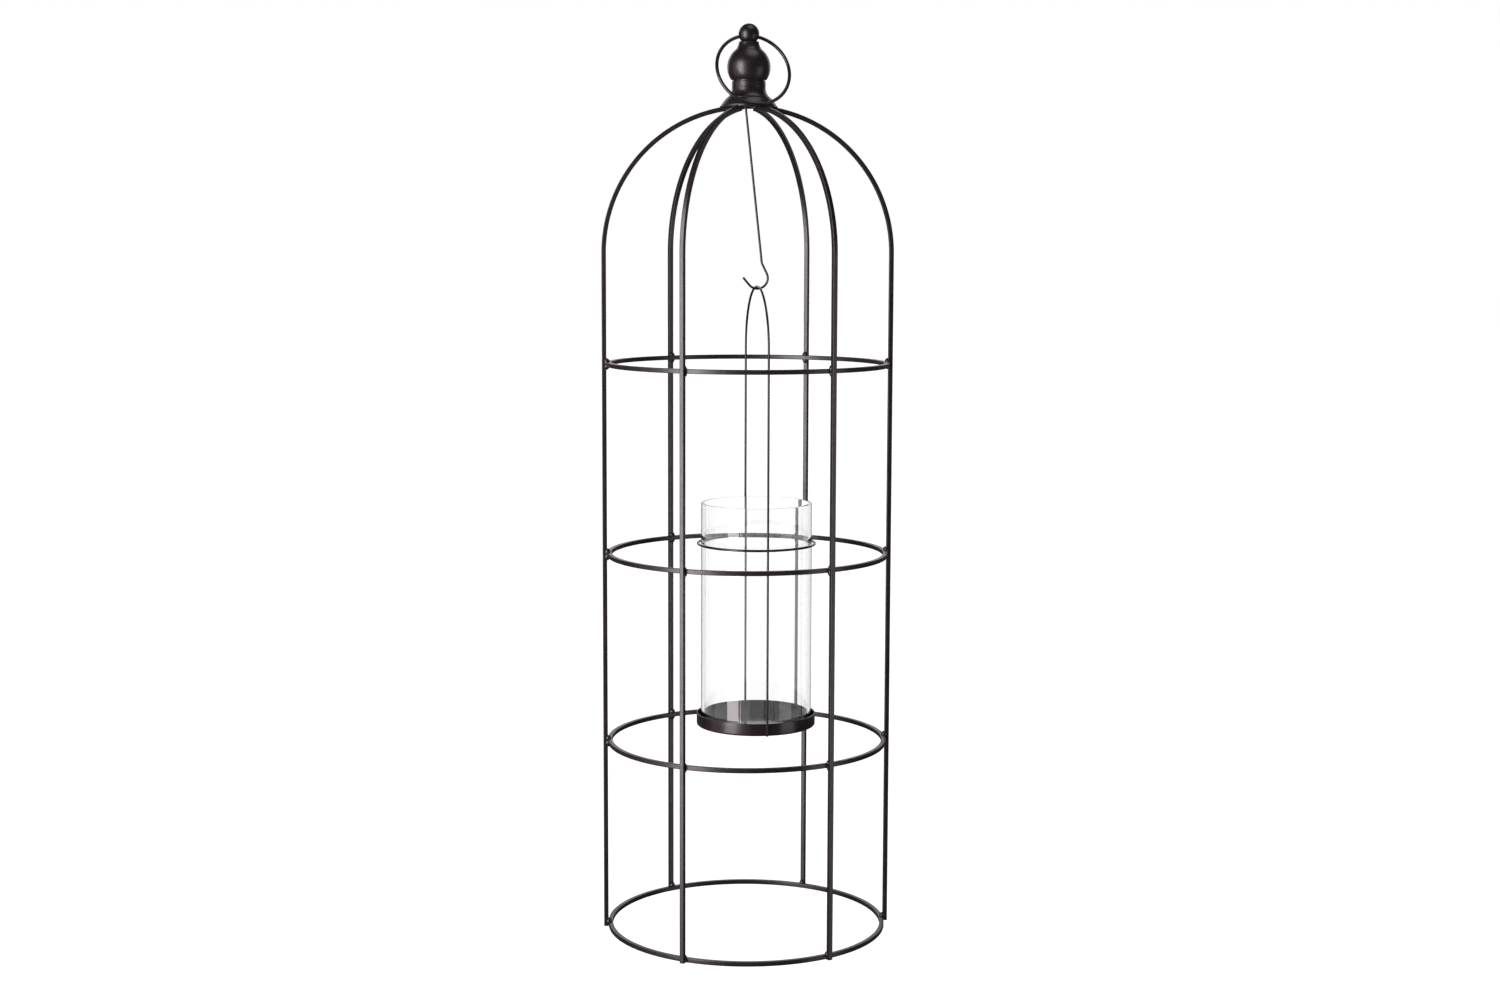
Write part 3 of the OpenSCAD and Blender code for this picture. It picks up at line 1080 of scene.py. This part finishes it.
    def make_collar(self) -> None:
        """Builds the collar between bulb and ball, with a slightly hollow side."""
        z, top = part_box("crown_collar")[0].z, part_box("crown_collar")[1].z
        a, b = Vector((self.collar, z)), Vector((self.collar_top, top))
        chord = (b - a).length
        radius = 2 * chord
        out = Vector(((top - z) / chord, (self.collar - self.collar_top) / chord))
        centre = (a + b) / 2 + out * math.sqrt(radius**2 - (chord / 2) ** 2)
        start, end = [
            math.degrees(math.atan2(p.y - centre.y, p.x - centre.x)) % 360 for p in (a, b)
        ]
        side = arc((centre.x, centre.y), radius, start, end, 14)
        last = side[-1]
        lip = arc((last[0] - 0.45 * MM, top - 0.45 * MM), 0.45 * MM, 10, 90, 5)
        wide = self.spigot + self.play
        self.turned("crown_collar", [(wide, z), *side[:-1], *lip, (wide, top)])

    def make_ball(self) -> None:
        """Builds the ball, with the cross hole bored and its mouths rounded."""
        z_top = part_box("crown_ball")[1].z
        mid = z_top - self.ball
        low = -math.degrees(math.acos(self.ball_foot / self.ball))
        side = arc((0, mid), self.ball, low, 90, 48)
        foot = side[0][1]
        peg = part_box("crown_ball")[0].z
        chamfer = self.foot_round
        spigot = [
            (0.0, peg),
            (self.spigot - chamfer, peg),
            (self.spigot, peg + chamfer),
            (self.spigot, foot),
        ]
        outline = [*spigot, (self.ball_foot - 0.3 * MM, foot), *side[:-1], (0.0, z_top)]
        piece = lathe("turned_crown_ball", outline, Vector((0, 0, 0)), 96)
        drill = self.drill(mid - self.cross_drop)
        cut = piece.modifiers.new("bore", "BOOLEAN")
        cut.operation, cut.solver, cut.object = "DIFFERENCE", "EXACT", drill
        bored = baked(piece, cut)
        piece.data = bored
        bpy.data.objects.remove(drill)
        smooth(bored, 28)
        ENAMEL.dress(piece)
        settle(piece, "cage", "crown_ball")

    def drill(self, height: float) -> bpy.types.Object:
        """Makes the cutter of the cross hole, flared where it leaves the ball.

        Args:
            height: height of the hole's axis.

        Returns:
            The cutter, to be removed after use.
        """
        reach = math.sqrt(self.ball**2 - self.cross_drop**2)
        flare = self.flare_round
        mouth = [
            (self.cross_radius + flare * (1 - cosine(a)), -flare + flare * sine(a))
            for a in range(0, 91, 15)
        ]
        right = [(r, reach - 0.35 * MM + d) for r, d in mouth]
        far = 2 * self.ball
        half = [*right, (right[-1][0], far)]
        outline = [(0.0, -far), *[(r, -d) for r, d in reversed(half)], *half, (0.0, far)]
        cutter = lathe("drill", outline, Vector((0, 0, 0)), 48)
        across = Matrix.Rotation(math.pi / 2, 4, "Y")
        turn = Matrix.Rotation(math.radians(self.cross_turn), 4, "Z")
        cutter.data.transform(Matrix.Translation((0, 0, height)) @ turn @ across)
        return cutter


Step = float | tuple[float, float]


@dataclass
class Wires:
    """The bent wires: carry ring, hook rod, bail and guard ring."""

    carry_radius: float = 32.5 * MM
    carry_wire: float = 1.5 * MM
    rod_wire: float = 1.0 * MM
    bail_wire: float = 1.0 * MM
    guard_wire: float = 1.1 * MM
    pin_x: float = 8 * MM
    cross_turn: float = 13.0
    bail_turn: float = 6.0
    ball: float = 9 * MM
    cross_drop: float = 2 * MM
    rod_drop: float = 170.7 * MM
    hook_radius: float = 9.2 * MM
    hook_tip: float = 8.5 * MM
    hook_tip_turn: float = 50.0
    neck: float = 9 * MM
    neck_turn: float = 26.0
    neck_bend: float = 6 * MM
    shank_lean: float = 6.15
    arm_turn: float = 55.0
    arm_bend: float = 3 * MM
    eye_radius: float = 2.31 * MM
    eye_sweep: float = 165.0
    bail_radius: float = 53.85 * MM
    tree: Tree = field(init=False)

    def build(self) -> None:
        """Builds the four wires."""
        self.tree = wire_tree()
        self.make_carry_ring()
        self.make_hook_rod()
        self.make_bail()
        self.make_guard_ring()

    def lay(
        self,
        node: str,
        body: str,
        points: Sequence[Vector],
        wire: float,
        closed: bool,
    ) -> bpy.types.Object:
        """Lays round wire along points.

        Args:
            node: CAD node that the wire stands for.
            body: CAD body that it rides on.
            points: points of its middle line.
            wire: radius of the wire.
            closed: whether the line is a closed ring.

        Returns:
            The finished wire.
        """
        curve = bpy.data.curves.new(node, "CURVE")
        curve.dimensions = "3D"
        spline = curve.splines.new("POLY")
        path, radii = list(points), [1.0] * len(points)
        if not closed:
            path, radii = self.rounded_ends(path, wire)
        spline.points.add(len(path) - 1)
        for point, place, thin in zip(spline.points, path, radii):
            point.co = (*place, 1.0)
            point.radius = thin
        spline.use_cyclic_u = closed
        values = {"Wire Radius": wire, "Finish": WIRE_ENAMEL.material()}
        piece = self.tree.bake("wire_" + node, values, curve)
        settle(piece, body, node)
        return piece

    def rounded_ends(self, path: list[Vector], wire: float) -> tuple[list[Vector], list[float]]:
        """Thins both ends of a path to the shape of a filed wire end.

        Args:
            path: the middle line.
            wire: radius of the wire.

        Returns:
            The path with more points at its ends, and the relative radius at each.
        """
        depth = 0.5 * wire
        made: list[list[tuple[Vector, float]]] = []
        for end, ahead in ((path[0], path[1]), (path[-1], path[-2])):
            way = (ahead - end).normalized()
            made.append(
                [
                    (end + way * depth * (1 - math.cos(a)), 0.55 + 0.45 * math.sin(a))
                    for a in (math.pi / 2 * k / 4 for k in range(5))
                ]
            )
        first, last = made[0], made[1][::-1]
        inner = path[1:-1]
        places = [p for p, _ in first] + inner + [p for p, _ in last]
        radii = [r for _, r in first] + [1.0] * len(inner) + [r for _, r in last]
        return places, radii

    def trace(self, steps: Sequence[Step], start: Vector, heading: float) -> list[Vector]:
        """Follows straights and bends in the XZ plane.

        Args:
            steps: each a length, or (bend radius, turn in degrees towards +X).
            start: first point.
            heading: first direction in degrees from +Z towards +X.

        Returns:
            Points of the middle line.
        """
        here, turn = start.copy(), math.radians(heading)
        points = [here.copy()]
        for step in steps:
            if isinstance(step, tuple):
                radius, sweep = step[0], math.radians(step[1])
                side = math.copysign(1.0, sweep)
                centre = here + Vector((math.cos(turn), 0, -math.sin(turn))) * radius * side
                count = max(3, int(abs(step[1]) / 4))
                for k in range(1, count + 1):
                    a = turn + sweep * k / count
                    points.append(centre - Vector((math.cos(a), 0, -math.sin(a))) * radius * side)
                turn += sweep
            else:
                way = Vector((math.sin(turn), 0, math.cos(turn)))
                points += [here + way * step * k / 4 for k in range(1, 5)]
            here = points[-1].copy()
        return points

    def make_carry_ring(self) -> None:
        """Builds the carry ring where it leans against the cap."""
        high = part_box("crown_ball")[1]
        pivot = high.z - self.ball - self.cross_drop
        half = math.sqrt(self.ball**2 - self.cross_drop**2)
        sag = self.carry_radius - math.sqrt(self.carry_radius**2 - half**2)
        arm = self.carry_radius - sag / 2
        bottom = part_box("carry_ring")[0].z
        # The ring's foot is where its CAD box ends, which gives its lean
        lean = self.lean(pivot, bottom, arm)
        turn = (
            Matrix.Translation((0, 0, pivot))
            @ Matrix.Rotation(math.radians(self.cross_turn), 4, "Z")
            @ Matrix.Rotation(-lean, 4, "X")
        )
        count = 160
        points = [
            turn
            @ Vector(
                (
                    self.carry_radius * math.sin(math.tau * k / count),
                    0,
                    -arm + self.carry_radius * math.cos(math.tau * k / count),
                )
            )
            for k in range(count)
        ]
        self.lay("carry_ring", "ring", points, self.carry_wire, True)

    def lean(self, pivot: float, bottom: float, arm: float) -> float:
        """Finds how far the ring leans, from the height of its lowest point.

        Args:
            pivot: height of the cross hole.
            bottom: height of the ring's lowest point.
            arm: distance from the cross hole to the ring's centre.

        Returns:
            The lean in radians.
        """
        reach = arm + self.carry_radius
        return math.acos((pivot - bottom - self.carry_wire) / reach)

    def make_hook_rod(self) -> None:
        """Builds the hook rod: open hook, kinked neck, long shank, and the eye over the pin."""
        pin_z = (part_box("hanger_pin")[0].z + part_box("hanger_pin")[1].z) / 2
        hook_z = pin_z - self.rod_drop
        tip, tip_turn = self.hook_tip, self.hook_tip_turn
        neck, turn, bend = self.neck, self.neck_turn, self.neck_bend
        lean, arm_turn, arm_bend = self.shank_lean, self.arm_turn, self.arm_bend
        # Everything but the two straights, from the hook's foot to the eye's centre
        x = (
            self.hook_radius * cosine(turn)
            - neck * sine(turn)
            + bend * (cosine(turn) - cosine(lean))
            + arm_bend * (cosine(lean) - cosine(arm_turn))
            + self.eye_radius * cosine(arm_turn)
        )
        z = (
            self.hook_radius * (1 + sine(turn))
            + neck * cosine(turn)
            + bend * (sine(turn) - sine(lean))
            + arm_bend * (sine(lean) + sine(arm_turn))
            - self.eye_radius * sine(arm_turn)
        )
        # The two straights close the rest, so that the hook hangs plumb below the pin
        rest, cross = self.rod_drop - z, sine(arm_turn + lean)
        shank = (x * cosine(arm_turn) + rest * sine(arm_turn)) / cross
        arm = (rest * sine(lean) - x * cosine(lean)) / cross
        heading = 90 + tip_turn
        start = Vector(
            (
                self.pin_x - self.hook_radius * sine(tip_turn),
                0,
                hook_z + self.hook_radius * (1 - cosine(tip_turn)),
            )
        )
        start -= Vector((sine(heading), 0, cosine(heading))) * tip
        steps: list[Step] = [
            tip,
            (self.hook_radius, -tip_turn - 90 - turn),
            neck,
            (bend, turn - lean),
            shank,
            (arm_bend, arm_turn + lean),
            arm,
            (self.eye_radius, self.eye_sweep),
        ]
        self.lay("hook_rod", "hook", self.trace(steps, start, heading), self.rod_wire, False)

    def make_bail(self) -> None:
        """Builds the bail: two legs down to the foot of the tray and a half-round top."""
        low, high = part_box("holder_bail")
        radius = self.bail_radius
        leg = high.z - self.bail_wire - radius - low.z
        path = self.trace([leg, (radius, 180.0), leg], Vector((-radius, 0, low.z)), 0.0)
        turn = Matrix.Rotation(math.radians(90 + self.bail_turn), 4, "Z")
        place = Matrix.Translation((self.pin_x, 0, 0)) @ turn
        self.lay("holder_bail", "holder", [place @ p for p in path], self.bail_wire, False)

    def make_guard_ring(self) -> None:
        """Builds the ring of wire that keeps the glass upright."""
        low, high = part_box("guard_ring")
        z = (low.z + high.z) / 2
        radius = (high.x - low.x) / 2 - self.guard_wire
        count = 200
        angles = [math.tau * k / count for k in range(count)]
        points = [
            Vector((self.pin_x + radius * math.cos(a), radius * math.sin(a), z)) for a in angles
        ]
        self.lay("guard_ring", "holder", points, self.guard_wire, True)


@dataclass
class Holder:
    """The shallow tray and the glass that stands loose in it."""

    tray_radius: float = 52.8 * MM
    sheet: float = 1 * MM
    corner: float = 1.6 * MM
    glass_wall: float = 2.8 * MM
    arris: float = 0.3 * MM

    def build(self) -> None:
        """Builds the tray and the glass."""
        low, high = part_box("tray")
        centre = Vector(((low.x + high.x) / 2, (low.y + high.y) / 2, 0))
        half = self.sheet / 2
        rim = arc((self.tray_radius - half, high.z - half), half, 0, 180, 8)
        outside = arc((self.tray_radius - self.corner, low.z + self.corner), self.corner, -90, 0, 8)
        inner_corner = max(self.corner - self.sheet, 0.6 * MM)
        inside = arc(
            (self.tray_radius - self.sheet - inner_corner, low.z + self.sheet + inner_corner),
            inner_corner,
            0,
            -90,
            6,
        )
        outline = [(0.0, low.z), *outside, *rim, *inside, (0.0, low.z + self.sheet)]
        tray = lathe("pressed_tray", outline, centre, 192)
        TRAY_ENAMEL.dress(tray)
        settle(tray, "holder", "tray")

        low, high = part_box("glass_cylinder")
        radius = (high.x - low.x) / 2
        centre = Vector(((low.x + high.x) / 2, (low.y + high.y) / 2, 0))
        outline = rounded(
            [
                (radius - self.glass_wall, low.z, self.arris),
                (radius, low.z, self.arris),
                (radius, high.z, self.arris),
                (radius - self.glass_wall, high.z, self.arris),
            ],
            6,
        )
        glass = lathe("glass_sleeve", outline, centre, 224)
        GLASS.dress(glass)
        settle(glass, "glass", "glass_cylinder")


def settle(piece: bpy.types.Object, body: str, node: str) -> None:
    """Puts a finished piece on its body in place of a CAD node.

    Args:
        piece: the finished object, at the origin.
        body: CAD body that it rides on.
        node: CAD node that it stands for.
    """
    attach(piece, body)
    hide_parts(node)
    LOG.info("%s: %d faces, stands for %s", piece.name, len(piece.data.polygons), node)


# --------------------------------------------------------------------------- studio


@dataclass(frozen=True)
class Card:
    """One soft light panel, placed round the lantern from the camera's side.

    Azimuth 0 is towards the camera and grows to the right, and the radiance says how
    bright the panel's face is beside the white floor's 1.
    """

    name: str
    azimuth: float
    away: float
    middle: float
    width: float
    height: float
    radiance: float


@dataclass
class Studio:
    """Pale floor, soft light and the camera."""

    cards: tuple[Card, ...] = (
        Card("left_softbox", -46, 1.5, 0.60, 0.80, 1.70, 8.5),
        Card("left_wall", -54, 1.9, 0.50, 3.40, 2.20, 0.7),
        Card("right_card", 64, 1.8, 0.00, 0.90, 1.20, 1.6),
        Card("back_wall", 180, 2.6, 1.50, 5.00, 1.70, 1.3),
    )
    top_radiance: float = 2.0
    top_size: float = 1.3
    top_place: tuple[float, float, float] = (0.45, -0.3, 2.6)
    through_glass: float = 1.12
    light_tint: str = "fff5f9"
    room: float = 0.06
    floor_radius: float = 14.0
    lens: float = 53.54
    distance: float = 1.958
    eye: float = 0.6153
    aside: float = 0.0022
    azimuth: float = -4.63
    pitch: float = 6.60
    roll: float = 0.19

    def build(self) -> None:
        """Builds the floor, the lights, the world and the camera."""
        self.make_floor()
        self.make_world()
        for card in self.cards:
            self.hang(card)
        overhead = self.light("overhead", self.top_size, self.top_size, self.top_radiance)
        overhead.location = self.top_place
        self.make_camera()

    def make_floor(self) -> None:
        """Makes a wide round floor at the height that the feet stand on."""
        form = bmesh.new()
        bmesh.ops.create_circle(form, cap_ends=True, radius=self.floor_radius, segments=96)
        mesh = bpy.data.meshes.new("floor")
        form.to_mesh(mesh)
        form.free()
        floor = mesh_object("floor", mesh)
        SWEEP.dress(floor)
        floor.visible_glossy = False

    def make_world(self) -> None:
        """Makes a white surround that lights gently: glossy surfaces see a dimmer room."""
        world = bpy.data.worlds.new("white_studio")
        bpy.context.scene.world = world
        world.use_nodes = True
        tree = world.node_tree
        tree.nodes.clear()
        path = add(tree, "ShaderNodeLightPath")
        room, white, through = [
            add(tree, "ShaderNodeBackground", {"Color": srgb("ffffff"), "Strength": strength})
            for strength in (self.room, 1.0, self.through_glass)
        ]
        direct = add(
            tree,
            "ShaderNodeMixShader",
            {0: path.outputs["Is Camera Ray"], 1: room.outputs[0], 2: white.outputs[0]},
        )
        whole = add(
            tree,
            "ShaderNodeMixShader",
            {0: path.outputs["Is Transmission Ray"], 1: direct.outputs[0], 2: through.outputs[0]},
        )
        add(tree, "ShaderNodeOutputWorld", {"Surface": whole.outputs[0]})

    def hang(self, card: Card) -> None:
        """Hangs one panel upright, facing the lantern's axis."""
        turn = math.radians(self.azimuth + card.azimuth)
        place = Vector((card.away * math.sin(turn), -card.away * math.cos(turn), card.middle))
        lamp = self.light(card.name, card.width, card.height, card.radiance)
        facing = Vector((-place.x, -place.y, 0)).to_track_quat("-Z", "Y")
        lamp.matrix_world = Matrix.Translation(place) @ facing.to_matrix().to_4x4()

    def light(self, name: str, width: float, height: float, radiance: float) -> bpy.types.Object:
        """Makes a rectangular light that the camera doesn't see.

        Args:
            name: name of the light.
            width: its width.
            height: its height.
            radiance: how bright its face is.

        Returns:
            The light, to be placed.
        """
        data = bpy.data.lights.new(name, "AREA")
        data.shape, data.size, data.size_y = "RECTANGLE", width, height
        data.energy = radiance * math.pi * width * height
        data.color = srgb(self.light_tint)[:3]
        lamp = bpy.data.objects.new(name, data)
        bpy.context.scene.collection.objects.link(lamp)
        lamp.visible_camera = False
        lamp.visible_transmission = False
        return lamp

    def make_camera(self) -> None:
        """Sets up the camera at eye level with the dome, looking slightly down."""
        data = bpy.data.cameras.new("camera")
        data.sensor_width, data.lens = 36.0, self.lens
        data.clip_start, data.clip_end = 0.05, 60.0
        camera = bpy.data.objects.new("camera", data)
        bpy.context.scene.collection.objects.link(camera)
        around = Matrix.Rotation(math.radians(self.azimuth), 4, "Z")
        tilt = Matrix.Rotation(math.radians(90 - self.pitch), 4, "X")
        spin = Matrix.Rotation(math.radians(self.roll), 4, "Z")
        stand = Matrix.Translation((self.aside, -self.distance, self.eye))
        camera.matrix_world = around @ stand @ tilt @ spin
        bpy.context.scene.camera = camera


def main() -> None:
    """Builds the lantern and the studio around the CAD frame."""
    logging.basicConfig(level=logging.INFO, format="%(name)s %(message)s")
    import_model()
    Cage().build()
    Crown().build()
    Wires().build()
    Holder().build()
    Studio().build()
    bpy.context.scene.view_settings.view_transform = "Standard"


if __name__ == "__main__":
    main()
